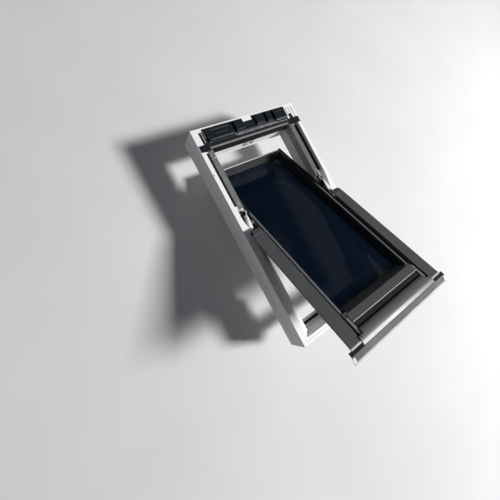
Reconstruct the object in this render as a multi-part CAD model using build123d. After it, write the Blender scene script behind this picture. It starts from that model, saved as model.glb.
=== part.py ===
from build123d import *
import os

# Centre-pivot roof window with its outer frame, in millimetres.
# X runs across the window, Y up the roof slope and Z out of the roof. The origin is the centre of the
# roof bracket holes at the underside of the bracket flanges. While it is modelled, Z = 0 is the outer
# plane of the frame and the sash is shut; placed_on_roof and opened set the last places.

os.makedirs("parts", exist_ok=True)

# Whole window
window_width = 550.0
window_length = 980.0
frame_depth = 110.0
open_angle = 26.5
side_gap = 6.0

# Frame members
frame_wall = 60.0
upper_ledge = 19.0
lower_ledge = 33.0
pocket_depth = 18.0
shelf_width = 13.0
shelf_drop = 14.0
inner_shelf_drop = 26.0
top_wall = 90.0
top_ledge = 70.0
bottom_ledge = 25.8
stop_lip = 17.5
side_lip_reach = 27.0
bottom_lip_reach = 61.0
side_lip_end = 170.0
stop_gap = 2.5
rest_strip_width = 10.0
rest_strip_inset = 8.0
edge_round = 1.5
ledge_groove = 1.4
lining_groove_width = 6.0
lining_groove_depth = 8.0
lining_groove_rise = 8.0

# Upper seal strips
seal_strip_start = 33.0
seal_strip = 3.0
seal_leg = 2.5
seal_leg_gap = 3.2
seal_strip_foot = 125.0
strip_screw_up = 95.0
strip_screw_down = 127.0

# Pivot hinges, with the pivot's place above the middle of the window and below the frame's outer plane
pivot_up = 55.0
pivot_drop = 2.0
pivot_pin_r = 6.0
pivot_running_gap = 0.06
pivot_head_r = 9.0
pivot_head = 3.0
pocket_foot = 31.0
guide_plate = 2.5
guide_plate_r = 35.0
guide_slot_r = 26.0
guide_slot_width = 7.4
guide_stud_r = 3.4
guide_stud_angle = -20.0
swing_limit = 160.0
sash_plate = 2.7
sash_plate_r = 33.0
sash_plate_arm = 112.0
hinge_base_length = 84.0
spring_strip = 1.6
spring_strip_height = 12.0

# Sash members
sash_rail = 38.0
sash_wood_top = 8.0
sash_foot = 36.0
sash_head_gap = 13.0
rebate_wall = 16.0
bottom_rebate_wall = 19.0
bottom_rail = 41.0

# Glass unit
glass_drop = 27.4
pane = 4.0
spacer_height = 16.0
spacer_width = 8.0
bed_thickness = 3.0
glass_clearance = 2.0
gasket = 2.0
gasket_width = 6.0

# Sash cladding
cladding = 1.5
sash_seal_width = 9.0
sash_seal_height = 5.0
trim_tread_1 = 9.4
trim_tread_2 = 5.0
trim_tread_3 = 6.0
trim_lip = 5.0
trim_rise = 3.0
trim_step = 8.0
cover_sheet = 1.2
cover_edge = 10.0
cover_top = 7.0
cover_width = 52.0
cover_foot = -42.4
cover_head_gap = 67.0
cover_flange = 12.0
cover_cap = 28.0
cover_end = 2.5
cover_screw_inset = 6.0
cover_screw_foot = 60.0
cover_screw_head_gap = 38.0
bend = 2.0

# Bottom covers
bottom_trim_height = 4.5
plate_lower_edge = 14.0
plate_upper_edge = 46.8
plate_inset = 20.6
carrier_clearance = 2.0
carrier_foot = -60.0
bottom_cover_head = -10.0
bottom_cover_foot = -64.0
bottom_cover_crown = 12.0
cover_bow = 3.0
fold_width = 9.0
bottom_cover_inset = 62.0
skirt_head = -47.0
skirt_bend = -62.0
skirt_foot = -84.0
skirt_overhang = 5.0
skirt_drop = 13.0

# Control bar and lock
bar_width = 368.0
bar_r = 8.0
bar_down = 65.0
bar_below = 34.0
bar_overhang = 13.5
arm_pivot_down = 15.0
arm_pivot_below = 8.0
arm = 4.0
arm_height = 14.0
arm_pin_r = 3.0
arm_pin_gap = 0.05
lug = 4.0
lug_reach = 8.0
lug_base = 24.0
lug_base_sheet = 2.0
flap_sheet = 2.0
flap_depth = 22.0
flap_drop = 4.0
lock_width = 30.0
lock_case_height = 16.0
lock_case_depth = 32.0
claw = 6.0
claw_width = 20.0
claw_length = 28.0
claw_gap = 0.4
strike_width = 56.0
strike_height = 28.0
strike = 2.5
strike_pocket = 6.0

# Top casing, clips and brackets
casing_start = 50.0
casing_end_inset = 65.0
casing_head_inset = 8.0
casing_length = 67.0
casing_height = 13.0
casing_screw_rise = 7.0
casing_tray = 3.0
casing_wall = 2.0
casing_draft = 8.0
casing_round = 3.0
clip = 2.0
clip_inset = 4.0
clip_width = 45.0
clip_reach = 25.0
clip_lip = 6.0
bracket_level = 86.0
bracket = 2.5
bracket_width = 60.0
bracket_flange = 36.0
bracket_leg = 40.0
bracket_hole_r = 3.5
bracket_hole_x = 200.0
bracket_hole_out = 20.0

# Screws
screw_head_r = 3.6
screw_head = 1.6
screw_r = 1.6
screw_length = 9.0

left_face = -window_width / 2
bottom_face = -window_length / 2
top_face = window_length / 2
pivot_y = pivot_up
pivot_z = -pivot_drop
sash_side = frame_wall + side_gap
pivot_place = window_length / 2 + pivot_up
sash_top = window_length - top_wall - sash_head_gap
stop_lip_top = frame_depth - stop_lip
sash_back = stop_lip_top - stop_gap
lining_groove_level = frame_depth - lining_groove_rise
glass_bottom = -glass_drop - 2 * pane - spacer_height
rebate_floor = glass_bottom - bed_thickness
lock_level = (sash_back - rebate_floor) / 2
seal_leg_drop = lock_level - strike_height / 2 - seal_leg_gap
cover_head = pivot_place - cover_head_gap
casing_end = window_width - casing_end_inset
casing_head = window_length - casing_head_inset
casing_foot = casing_head - casing_length
part_steps = {}


def across(place):
    """X of a place measured from the window's left face."""
    return left_face + place


def upslope(place):
    """Y of a place measured from the window's bottom face."""
    return bottom_face + place


def outline(points, radius=0.0):
    """Closed flat outline, with its corners rounded when a radius is given."""
    if radius:
        return make_face(FilletPolyline(*points, radius=radius, close=True))
    return make_face(Polyline(*points, close=True))


def sheet_outline(points, thickness, radius=bend, side=Side.RIGHT):
    """Edge view of a bent sheet whose visible face follows the points."""
    path = FilletPolyline(*points, radius=radius)
    return make_face(offset(path, amount=thickness, side=side).edges())


def along_y(face, start, end):
    """Carries an outline in the XZ plane from one Y to another."""
    return extrude(Plane.XZ.offset(-end) * face, amount=end - start)


def along_x(face, start, end):
    """Carries an outline in the YZ plane from one X to another."""
    return extrude(Plane.YZ.offset(start) * face, amount=end - start)


def along_z(face, start, end):
    """Carries an outline in the XY plane from one Z to another."""
    return extrude(Plane.XY.offset(start) * face, amount=end - start)


def block(x_range, y_range, z_range):
    """Rectangular block between two places on each axis."""
    size = [b - a for a, b in (x_range, y_range, z_range)]
    middle = [(a + b) / 2 for a, b in (x_range, y_range, z_range)]
    return Pos(*middle) * Box(*size)


def rod_x(y, z, radius, start, end):
    """Round rod along X."""
    return Pos((start + end) / 2, y, z) * Rot(0, 90, 0) * Cylinder(radius, end - start)


def rod_z(x, y, radius, start, end):
    """Round rod along Z."""
    return Pos(x, y, (start + end) / 2) * Cylinder(radius, end - start)


def mirrored(solid):
    """The same piece for the window's other side."""
    return mirror(solid, about=Plane.YZ)


def placed_on_roof(solid):
    """Moves a piece from the frame's outer plane to the bracket flanges' underside."""
    return Pos(0, 0, bracket_level) * solid


def opened(solid):
    """Turns a sash piece about the pivot to the open place it is kept in."""
    turn = Pos(0, pivot_y, pivot_z) * Rot(-open_angle, 0, 0) * Pos(0, -pivot_y, -pivot_z)
    return turn * solid


def keep(name, solid, on_sash=False):
    """Stores one piece at its last place."""
    part_steps[name] = placed_on_roof(opened(solid) if on_sash else solid)


def keep_pair(name, left, on_sash=False):
    """Stores a left piece and its mirrored right one."""
    keep(name + "_left", left, on_sash)
    keep(name + "_right", mirrored(left), on_sash)


def screw(x, y, z, tilt=0):
    """Pan-head screw with its head seated at a place; tilt turns the head from +Z about X."""
    disc = Pos(0, 0, screw_head / 2) * Cylinder(screw_head_r, screw_head)
    head = chamfer(disc.edges().group_by(Axis.Z)[-1], screw_head * 0.6)
    shank = Pos(0, 0, -screw_length / 2) * Cylinder(screw_r, screw_length)
    return Pos(x, y, z) * Rot(tilt, 0, 0) * (head + shank)


def screws_at(places):
    """Group of screws, one for each place."""
    return Compound([screw(*place).solid() for place in places])


def drilled(solid, places):
    """The piece with the hole that a screw's shank fills at each place."""
    for x, y, z, *tilt in places:
        shank = Pos(0, 0, (screw_head - screw_length) / 2) * Cylinder(screw_r, screw_length + screw_head)
        solid = solid - Pos(x, y, z) * Rot(tilt[0] if tilt else 0, 0, 0) * shank
    return solid


# Frame: white members with a ledge that steps down to the sash

pocket_y = upslope(window_length / 2 + pocket_foot)
frame_bottom_side = window_length / 2 - pivot_up
sash_corner_r = ((frame_bottom_side + pivot_up * 2 - sash_foot) ** 2 + (sash_back - pivot_drop) ** 2) ** 0.5
swing_clearance = 2.0


def frame_side_member():
    """Left member: a stepped lower half, an upper half with the pocket, and a stop lip at the foot."""
    shelf_end = lower_ledge + shelf_width
    lower = outline([
        (across(0), 0), (across(lower_ledge), 0), (across(lower_ledge), -shelf_drop),
        (across(shelf_end), -shelf_drop), (across(shelf_end), -inner_shelf_drop),
        (across(frame_wall), -inner_shelf_drop), (across(frame_wall), -frame_depth), (across(0), -frame_depth),
    ])
    full = outline([(across(0), 0), (across(frame_wall), 0), (across(frame_wall), -frame_depth),
                    (across(0), -frame_depth)])
    body = along_y(lower, upslope(bottom_ledge), pocket_y)
    body += along_y(full, bottom_face, upslope(bottom_ledge))
    body += along_y(full, pocket_y, top_face)
    body -= along_z(pocket_outline(), -pocket_depth, 1)
    body += block((across(frame_wall), across(frame_wall + side_lip_reach)),
                  (upslope(bottom_lip_reach), upslope(side_lip_end)), (-frame_depth, -stop_lip_top))
    groove_z = (-lining_groove_level - lining_groove_width / 2, -lining_groove_level + lining_groove_width / 2)
    groove_y = (upslope(side_lip_end), top_face - top_wall + lining_groove_depth)
    body -= block((across(frame_wall - lining_groove_depth), across(frame_wall)), groove_y, groove_z)
    body -= block((across(0), across(ledge_groove)), (bottom_face, top_face),
                  (groove_z[0], groove_z[0] + 2 * ledge_groove))
    outer = body.edges().filter_by(Axis.Y).filter_by_position(Axis.X, across(-1), across(0.01))
    return fillet(outer.filter_by_position(Axis.Z, -0.01, 0.01), edge_round)


def pocket_outline():
    """Plan of the upper pocket: the ledge narrows in a long curve from the hinge upwards."""
    head = top_face - top_ledge
    foot = pocket_y
    curve_end = foot + 106
    ledge = Bezier((across(upper_ledge), curve_end), (across(upper_ledge), foot + 64),
                   (across(lower_ledge - 6), foot + 34), (across(lower_ledge), foot))
    rest = Polyline((across(lower_ledge), foot), (across(frame_wall + 1), foot), (across(frame_wall + 1), head),
                    (across(upper_ledge), head), (across(upper_ledge), curve_end))
    return make_face(ledge.edges() + rest.edges())


def frame_top_member():
    """Top member: a wide ledge and a rebate for the seal strip."""
    section = outline([
        (top_face, 0), (top_face, -frame_depth), (top_face - top_wall, -frame_depth),
        (top_face - top_wall, -pocket_depth), (top_face - top_ledge, -pocket_depth), (top_face - top_ledge, 0),
    ])
    body = along_x(section, across(frame_wall), -across(frame_wall))
    half = lining_groove_width / 2
    body -= block((across(frame_wall), -across(frame_wall)),
                  (top_face - top_wall, top_face - top_wall + lining_groove_depth),
                  (-lining_groove_level - half, -lining_groove_level + half))
    pocket = block((-lock_width / 2, lock_width / 2), (top_face - top_wall, top_face - top_wall + strike_pocket),
                   (-lock_level - claw, -lock_level + claw))
    return body - pocket


def frame_bottom_member():
    """Bottom member: the inner face steps back with the sash's swing and ends in the stop lip."""
    r = sash_corner_r + swing_clearance
    steps = [-pocket_depth, -44.0, -70.0, -stop_lip_top]
    points = [(bottom_face, 0), (upslope(bottom_ledge), 0), (upslope(bottom_ledge), steps[0])]
    for upper, lower in zip(steps, steps[1:]):
        reach = pivot_y - (r ** 2 - (upper - pivot_z) ** 2) ** 0.5
        points += [(reach, upper), (reach, lower)]
    points += [(upslope(bottom_lip_reach), -stop_lip_top), (upslope(bottom_lip_reach), -frame_depth),
               (bottom_face, -frame_depth)]
    return along_x(outline(points), across(frame_wall), -across(frame_wall))


def ledge_groove_cut():
    """Shallow water groove along the bottom ledge."""
    y = upslope(bottom_ledge / 2)
    return block((across(frame_wall / 3), -across(frame_wall / 3)), (y, y + ledge_groove), (-ledge_groove, 1))


ledge_screws = [(across(u), upslope(y), 0) for u, y in ((23, 19), (81, 7))]
ledge_screws += [(-x, y, z) for x, y, z in ledge_screws]
strip_z = -pocket_depth + seal_strip
strip_screws = [(across(frame_wall - 5), top_face - strip_screw_down, strip_z),
                (across(frame_wall - 10), pivot_y + strip_screw_up, strip_z)]
strip_screws += [(-x, y, z) for x, y, z in strip_screws]

frame_left = frame_side_member() - ledge_groove_cut()
frame_bottom = frame_bottom_member() - ledge_groove_cut()
frame_top = frame_top_member()


def upper_seal_side():
    """Left seal strip: a flat band in the pocket with a leg down the inner face."""
    start = upslope(window_length / 2 + seal_strip_foot)
    end = top_face - top_ledge
    leg_end = top_face - top_wall
    band = block((across(seal_strip_start), across(frame_wall + seal_leg)), (start, end),
                 (-pocket_depth, -pocket_depth + seal_strip))
    band -= block((across(frame_wall), across(frame_wall + seal_leg)), (leg_end - seal_leg, end), (-pocket_depth, 0))
    leg = block((across(frame_wall), across(frame_wall + seal_leg)), (start, leg_end - seal_leg),
                (-seal_leg_drop, -pocket_depth))
    ribs = block((across(seal_strip_start), across(seal_strip_start + 2)), (start, end), (strip_z, strip_z + 1.5))
    return band + leg + ribs


def upper_seal_head():
    """Top seal strip, between the side strips."""
    inner = top_face - top_wall
    section = outline([
        (inner - seal_leg, -seal_leg_drop), (inner, -seal_leg_drop), (inner, -pocket_depth),
        (top_face - top_ledge, -pocket_depth), (top_face - top_ledge, strip_z), (inner - seal_leg, strip_z),
    ])
    return along_x(section, across(frame_wall), -across(frame_wall))


def frame_gasket():
    """Rubber strip on the stop lips, where the shut sash rests."""
    inner = frame_wall + side_lip_reach - rest_strip_inset
    outer = inner - rest_strip_width
    z_range = (-stop_lip_top, -sash_back - 0.4)
    head = upslope(bottom_lip_reach) - rest_strip_inset
    strip = block((across(outer), -across(outer)), (head - rest_strip_width - 2, head), z_range)
    for side in (1, -1):
        xs = sorted((side * across(outer), side * across(inner)))
        strip += block(xs, (head, upslope(side_lip_end) - 2), z_range)
    return strip


# Pivot hinges

hinge_foot = pocket_y + 3
web_start = across(frame_wall)
web_end = web_start + guide_plate
plate_end = across(sash_side)
plate_start = plate_end - sash_plate
hinge_screw_places = [(across(lower_ledge + u), hinge_foot + y, -pocket_depth + guide_plate)
                      for u, y in ((6, 66), (20, 46))]
hinge_screw_places += [(-x, y, z) for x, y, z in hinge_screw_places]


def guide_slot(start, end):
    """Curved slot about the pivot that the sash's stud runs in, as long as the sash's whole swing."""
    arc = CenterArc((0, 0), guide_slot_r, guide_stud_angle + 1, -swing_limit - 2)
    face = Pos(pivot_y, pivot_z) * SlotArc(arc, guide_slot_width)
    return along_x(face, start, end)


def hinge_plate():
    """Frame hinge: a base flange in the pocket and a half-round web with the guide slot."""
    web = Pos(pivot_y, pivot_z) * Circle(guide_plate_r)
    cap_height = 8.0
    web &= Pos(pivot_y, pivot_z - guide_plate_r + cap_height / 2) * Rectangle(
        2 * guide_plate_r, 2 * guide_plate_r + cap_height)
    web += Pos(pivot_y, pivot_z) * Circle(pivot_head_r + 3)
    body = along_x(web, web_start, web_end)
    flange = block((across(lower_ledge + 1), web_end), (hinge_foot, hinge_foot + hinge_base_length),
                   (-pocket_depth, -pocket_depth + guide_plate))
    body += flange
    body -= guide_slot(web_start, web_end)
    return drilled(body - rod_x(pivot_y, pivot_z, pivot_pin_r, web_start, web_end), hinge_screw_places)


def pivot_pin():
    """Headed pivot pin, fast in the frame hinge."""
    pin = rod_x(pivot_y, pivot_z, pivot_pin_r, web_start, plate_end)
    return pin + rod_x(pivot_y, pivot_z, pivot_head_r, web_start - pivot_head, web_start)


def brake_spring():
    """S-shaped strip spring on edge between the hinge's base and the frame."""
    path = [(across(lower_ledge + u), pivot_y + y) for u, y in (
        (5, 60), (13, 53), (24, 51), (24, 39), (13, 35), (5, 31), (11, 21))]
    base = -pocket_depth + guide_plate
    return along_z(sheet_outline(path, spring_strip, 3.0), base, base + spring_strip_height)


def brake_cover():
    """Pressed wedge over the hinge's friction brake."""
    plan = outline([(across(lower_ledge + u), pivot_y + y) for u, y in (
        (2, -19), (13, -19), (18, -9), (18, 7), (14, 15), (10, 15))], 2.0)
    body = along_z(plan, -pocket_depth + guide_plate, 2.0)
    return chamfer(body.edges().group_by(Axis.Z)[-1], 1.5)


def sash_hinge():
    """Sash hinge: a round plate on the pivot with an arm down the rail and a stud in the guide."""
    disc = Pos(pivot_y, pivot_z) * Circle(sash_plate_r)
    arm_low = pivot_y - sash_plate_arm
    limb = outline([(arm_low, -14), (pivot_y, -14), (pivot_y, -40), (arm_low, -34)])
    body = along_x(disc + limb, plate_start, plate_end)
    stud = Pos(0, pivot_y, pivot_z) * Rot(guide_stud_angle, 0, 0) * Pos(0, -pivot_y, -pivot_z)
    stud = stud * rod_x(pivot_y + guide_slot_r, pivot_z, guide_stud_r, web_start + 0.3, plate_start)
    bore = rod_x(pivot_y, pivot_z, pivot_pin_r + pivot_running_gap, plate_start, plate_end)
    return body + stud - bore


# Sash: four white members with a rebate for the glass unit

def sash_side_member():
    """Left sash member with the glass rebate cut between the ends."""
    inner = sash_side + sash_rail
    body = block((across(sash_side), across(inner)), (upslope(sash_foot), upslope(sash_top)),
                 (-sash_back, -sash_wood_top))
    rebate = block((across(sash_side + rebate_wall), across(inner)),
                   (upslope(sash_foot + bottom_rebate_wall), upslope(sash_top - rebate_wall)),
                   (rebate_floor, -sash_wood_top))
    body = body - rebate
    inner_edge = body.edges().filter_by(Axis.Y).filter_by_position(Axis.X, across(inner) - 0.01, across(inner) + 0.01)
    body = chamfer(inner_edge.filter_by_position(Axis.Z, -sash_back - 0.01, -sash_back + 0.01), 3)
    return body - rod_x(pivot_y, pivot_z, pivot_head_r, plate_end, plate_end + 2)


def sash_head_member():
    """Top sash member."""
    top = upslope(sash_top)
    section = outline([
        (top, -sash_wood_top), (top, -sash_back), (top - sash_rail, -sash_back),
        (top - sash_rail, rebate_floor), (top - rebate_wall, rebate_floor), (top - rebate_wall, -sash_wood_top),
    ])
    inner = sash_side + sash_rail
    body = along_x(section, across(inner), -across(inner))
    half = lock_case_height / 2
    return body - block((-lock_width / 2, lock_width / 2), (top - lock_case_depth, top),
                        (-lock_level - half, -lock_level + half))


def sash_foot_member():
    """Bottom sash member."""
    low = upslope(sash_foot)
    section = outline([
        (low, -sash_wood_top), (low + bottom_rebate_wall, -sash_wood_top), (low + bottom_rebate_wall, rebate_floor),
        (low + bottom_rail, rebate_floor), (low + bottom_rail, -sash_back), (low, -sash_back),
    ])
    inner = sash_side + sash_rail
    return along_x(section, across(inner), -across(inner))


def glass_plate(top, thickness, inset=0.0):
    """Flat layer of the glass unit below the height top, drawn in from its edge by inset."""
    edge = sash_side + rebate_wall + glass_clearance + inset
    low = sash_foot + bottom_rebate_wall + glass_clearance + inset
    high = sash_top - rebate_wall - glass_clearance - inset
    return block((across(edge), -across(edge)), (upslope(low), upslope(high)), (top - thickness, top))


def ring(top, thickness, outer_inset, width):
    """Frame-shaped layer of the glass unit."""
    hole = glass_plate(top, thickness, outer_inset + width)
    return glass_plate(top, thickness, outer_inset) - hole


def glazing_gasket():
    """Outer gasket under the trims and the bed under the glass, two rubber rings."""
    outer_inset = rebate_wall - glass_clearance - 2
    outer = ring(-glass_drop + gasket, gasket, outer_inset, gasket_width)
    bed = ring(glass_bottom, bed_thickness, 1.0, rebate_wall)
    return Compound([outer.solid(), bed.solid()])


def trim_outline(turned):
    """Stepped edge view of the side and top trims, from the outer edge down to the glass."""
    start = sash_seal_width + 0.6
    steps = [(start, -sash_wood_top), (start, -sash_wood_top + trim_rise)]
    place, level = steps[-1]
    for tread, drop in ((trim_tread_1, trim_rise), (trim_tread_2, trim_step), (trim_tread_3, None)):
        place += tread
        steps.append((place, level))
        level = -glass_drop + gasket + cladding if drop is None else level - drop
        steps.append((place, level))
    steps.append((place + trim_lip, level))
    points = [turned(distance, height) for distance, height in steps]
    return points


def mitre_plan(points):
    """Plan of a mitred trim, as a tall prism."""
    return along_z(outline(points), -glass_drop - 1, cover_top)


def trim_reach():
    """Distance from the sash's edge to the inner edge of a trim."""
    return sash_seal_width + 0.6 + trim_tread_1 + trim_tread_2 + trim_tread_3 + trim_lip


def glazing_trim_side():
    """Left trim, mitred at the top."""
    points = trim_outline(lambda distance, height: (across(sash_side + distance), height))
    face = make_face(offset(Polyline(*points), amount=cladding, side=Side.RIGHT, kind=Kind.INTERSECTION).edges())
    reach = trim_reach()
    low = upslope(sash_foot + bottom_rebate_wall)
    high = upslope(sash_top)
    body = along_y(face, low, high)
    return body & mitre_plan([(across(sash_side), low), (across(sash_side), high),
                              (across(sash_side + reach), high - reach), (across(sash_side + reach), low)])


def glazing_trim_head():
    """Top trim, mitred at both ends."""
    high = upslope(sash_top)
    points = trim_outline(lambda distance, height: (high - distance, height))
    face = make_face(offset(Polyline(*points), amount=cladding, side=Side.LEFT, kind=Kind.INTERSECTION).edges())
    reach = trim_reach()
    body = along_x(face, across(sash_side), -across(sash_side))
    return body & mitre_plan([(across(sash_side), high), (-across(sash_side), high),
                              (-across(sash_side + reach), high - reach), (across(sash_side + reach), high - reach)])


def glazing_trim_foot():
    """Bottom trim: a sloping face from the bottom plate down to the glass."""
    low = upslope(sash_foot)
    edge = low + bottom_rebate_wall
    start = upslope(plate_upper_edge) + 0.7
    level = -glass_drop + gasket + cladding
    points = [(start, -sash_wood_top), (start, bottom_trim_height), (start + 3, bottom_trim_height),
              (edge + 17, level), (edge + 21, level)]
    face = make_face(offset(Polyline(*points), amount=cladding, side=Side.RIGHT, kind=Kind.INTERSECTION).edges())
    reach = sash_side + trim_reach() + 0.4
    return along_x(face, across(reach), -across(reach))


def sash_seals():
    """Rubber strips along the outer edges of the side members."""
    left = block((across(sash_side), across(sash_side + sash_seal_width)), (upslope(sash_foot), upslope(sash_top)),
                 (-sash_wood_top, -sash_wood_top + sash_seal_height))
    return Compound([left.solid(), mirrored(left).solid()])


# Side covers and the bottom covers

seal_top = -sash_wood_top + sash_seal_height
cover_seat = carrier_clearance + 2 * cover_sheet
cover_inner = cover_edge + cover_width
cover_screw_head = cover_head - cover_screw_head_gap
cover_screw_places = [(across(cover_inner + cover_screw_inset), upslope(y), seal_top + cover_sheet)
                      for y in (cover_screw_foot, (cover_screw_foot + cover_screw_head) / 2, cover_screw_head)]
cover_screw_places += [(-x, y, z) for x, y, z in cover_screw_places]


def side_cover():
    """Left cover: a folded sheet over the ledge with a flange on the sash."""
    face = sheet_outline([
        (across(cover_edge), 1), (across(cover_edge), cover_top), (across(cover_inner), cover_top),
        (across(cover_inner), seal_top + cover_sheet),
        (across(cover_inner + cover_flange), seal_top + cover_sheet),
    ], cover_sheet)
    sheet = along_y(face, upslope(cover_foot), upslope(cover_head))
    over_ledge = block((across(0), across(cover_inner + cover_flange)), (upslope(cover_foot), upslope(sash_foot)),
                       (seal_top, carrier_clearance))
    return drilled(sheet - over_ledge, cover_screw_places)


def cover_end_piece():
    """Left moulded end that closes the cover at the bottom."""
    face_y = upslope(cover_foot)
    plate = block((across(cover_edge), across(cover_inner)), (face_y - cover_end, face_y), (1, cover_top))
    plug = block((across(cover_edge + 2), across(cover_inner - 2)), (face_y, face_y + 8),
                 (1.5, cover_top - cover_sheet - 0.1))
    return plate + plug


def cover_cap_piece():
    """Left moulded cap above the cover, with cross ribs."""
    start = upslope(cover_head)
    plan = [(across(cover_edge + 2), start), (across(cover_inner - 1), start),
            (across(cover_inner - 1), start + cover_cap), (across(cover_edge + 10), start + cover_cap),
            (across(cover_edge + 2), start + cover_cap - 10)]
    cap = along_z(outline(plan), 1.2, cover_top - 1)
    for n in range(3):
        y = start + 4 + 7 * n
        cap -= block((across(cover_edge + 14), across(cover_inner - 5)), (y, y + 3), (cover_top - 3, cover_top))
    plug = block((across(cover_edge + 2), across(cover_inner - 2)), (start - 8, start),
                 (1.2, cover_top - cover_sheet - 0.1))
    return cap + plug


def bottom_plate():
    """Folded plate over the bottom member with a turned-down lip."""
    upper = upslope(plate_upper_edge)
    lower = upslope(plate_lower_edge)
    points = [(upslope(sash_foot) + 1.5, -sash_wood_top + cover_sheet), (upper, -sash_wood_top + cover_sheet),
              (upper, cover_top), (lower, cover_top), (lower, carrier_clearance + 2 * cover_sheet)]
    face = make_face(offset(Polyline(*points), amount=cover_sheet, side=Side.LEFT, kind=Kind.INTERSECTION).edges())
    inset = sash_side + plate_inset
    return along_x(face, across(inset), -across(inset))


def bottom_carrier():
    """Angle on the sash's lower face that reaches over the frame ledge and carries the covers."""
    face_y = upslope(sash_foot)
    top = carrier_clearance + cover_sheet
    points = [(upslope(carrier_foot), top), (face_y, top), (face_y, -30)]
    face = make_face(offset(Polyline(*points), amount=cover_sheet, side=Side.RIGHT, kind=Kind.INTERSECTION).edges())
    inset = cover_inner + cover_flange + 1
    return along_x(face, across(inset), -across(inset))


def bottom_skirt():
    """Full-width apron below the covers, sloping down with a hemmed edge."""
    top = carrier_clearance + 2 * cover_sheet
    points = [(upslope(skirt_head), top), (upslope(skirt_bend), top), (upslope(skirt_foot), top - skirt_drop)]
    face = sheet_outline(points, cover_sheet, 6.0, Side.LEFT)
    hem = Pos(upslope(skirt_foot), top - skirt_drop - cover_sheet) * Circle(1.5)
    body = along_x(face, across(-skirt_overhang), -across(-skirt_overhang))
    return body + along_x(hem, across(-skirt_overhang), -across(-skirt_overhang))


def bow_area(inset, floor):
    """Area under the bottom cover's bow, its face drawn in by inset, down to the heights in floor."""
    head = upslope(bottom_cover_head) - inset
    foot = upslope(bottom_cover_foot) + inset
    shoulder = foot + fold_width
    edge = bottom_cover_crown - cover_bow - inset
    bow = ThreePointArc((head, edge), ((head + shoulder) / 2, edge + cover_bow), (shoulder, edge))
    fold = ThreePointArc((shoulder, edge), (foot + fold_width * 0.25, edge - fold_width * 0.3), (foot, cover_seat))
    ledge = upslope(skirt_head)
    rest = Polyline((foot, cover_seat), (foot, floor[0]), (ledge, floor[0]), (ledge, floor[1]), (head, floor[1]),
                    (head, edge)) if floor[0] < cover_seat else Polyline(
                        (foot, cover_seat), (ledge, cover_seat), (ledge, floor[1]), (head, floor[1]), (head, edge))
    return make_face(bow.edges() + fold.edges() + rest.edges())


def bottom_cover():
    """Rounded cover over the lower edge of the sash: a bowed sheet folded down at both edges."""
    outer = bow_area(0.0, (cover_seat, cover_seat - cover_sheet))
    hollow = bow_area(cover_sheet, (cover_seat - 4, cover_seat - 5))
    return along_x(outer - hollow, across(bottom_cover_inset), -across(bottom_cover_inset))


# Control bar, flap and lock

bar_y, bar_z = sash_top - bar_down, -sash_back - bar_below
arm_y, arm_z = sash_top - arm_pivot_down, -sash_back - arm_pivot_below
bar_end = (window_width - bar_width) / 2
arm_start = bar_end + bar_overhang


def control_bar():
    """Handle bar with rounded ends, along the top of the sash on the room side."""
    bar = rod_x(upslope(bar_y), bar_z, bar_r, across(bar_end), -across(bar_end))
    return fillet(bar.edges(), bar_r * 0.45)


def bar_arm():
    """Left curved arm from the sash lug to the bar."""
    path = ThreePointArc((upslope(arm_y), arm_z), (upslope((arm_y + bar_y) / 2) + 6, (arm_z + bar_z) / 2 - 9),
                         (upslope(bar_y), bar_z))
    limb = SlotArc(path, arm_height)
    body = along_x(limb, across(arm_start), across(arm_start + arm))
    body -= rod_x(upslope(bar_y), bar_z, bar_r, across(arm_start), across(arm_start + arm))
    return body - rod_x(upslope(arm_y), arm_z, arm_pin_r + arm_pin_gap, across(arm_start), across(arm_start + arm))


def bar_lug():
    """Left lug under the sash rail with the pin that the arm turns on."""
    outer = arm_start - 0.5
    body = block((across(outer - lug), across(outer)), (upslope(arm_y - lug_reach), upslope(arm_y + lug_reach)),
                 (arm_z - 2 * arm_pin_r, -sash_back))
    base = block((across(outer - lug_base), across(outer)),
                 (upslope(arm_y - lug_base / 2), upslope(arm_y + lug_base / 2)),
                 (-sash_back - lug_base_sheet, -sash_back))
    return body + base + rod_x(upslope(arm_y), arm_z, arm_pin_r, across(outer), across(outer + arm + 2))


def vent_flap():
    """Flap between the arms that covers the air slot under the top member when the bar is up."""
    head = upslope(arm_y) - 5
    low = arm_z - flap_drop
    face = sheet_outline([(head, low), (head - flap_depth * 0.6, low - 2), (head - flap_depth, low - 1)],
                         flap_sheet, 6.0, Side.LEFT)
    inner = across(arm_start + arm)
    return along_x(face, inner, -inner)


def lock_case():
    """Case let into the top sash member with the channel that the claw slides in."""
    top = upslope(sash_top)
    half = lock_case_height / 2
    body = block((-lock_width / 2, lock_width / 2), (top - lock_case_depth, top), (-lock_level - half, -lock_level + half))
    side = claw_width / 2 + claw_gap
    rise = claw / 2 + claw_gap
    return body - block((-side, side), (top - claw_length - 3, top), (-lock_level - rise, -lock_level + rise))


def lock_claw():
    """Sliding claw with a chamfered nose, drawn back into its case."""
    top = upslope(sash_top) - 0.5
    body = block((-claw_width / 2, claw_width / 2), (top - claw_length, top),
                 (-lock_level - claw / 2, -lock_level + claw / 2))
    nose = body.faces().sort_by(Axis.Y)[-1].edges().filter_by(Axis.X).sort_by(Axis.Z)[0]
    return chamfer(nose, 2.5)


def strike_plate():
    """Plate on the frame's top member with the slot that the claw enters."""
    face_y = top_face - top_wall
    body = block((-strike_width / 2, strike_width / 2), (face_y - strike, face_y),
                 (-lock_level - strike_height / 2, -lock_level + strike_height / 2))
    corners = body.edges().filter_by(Axis.Y)
    body = fillet(corners, 4)
    slot_x = claw_width / 2 + 1
    return body - block((-slot_x, slot_x), (face_y - strike, face_y), (-lock_level - claw, -lock_level + claw))


# Casing, clips and brackets on the frame

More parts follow.
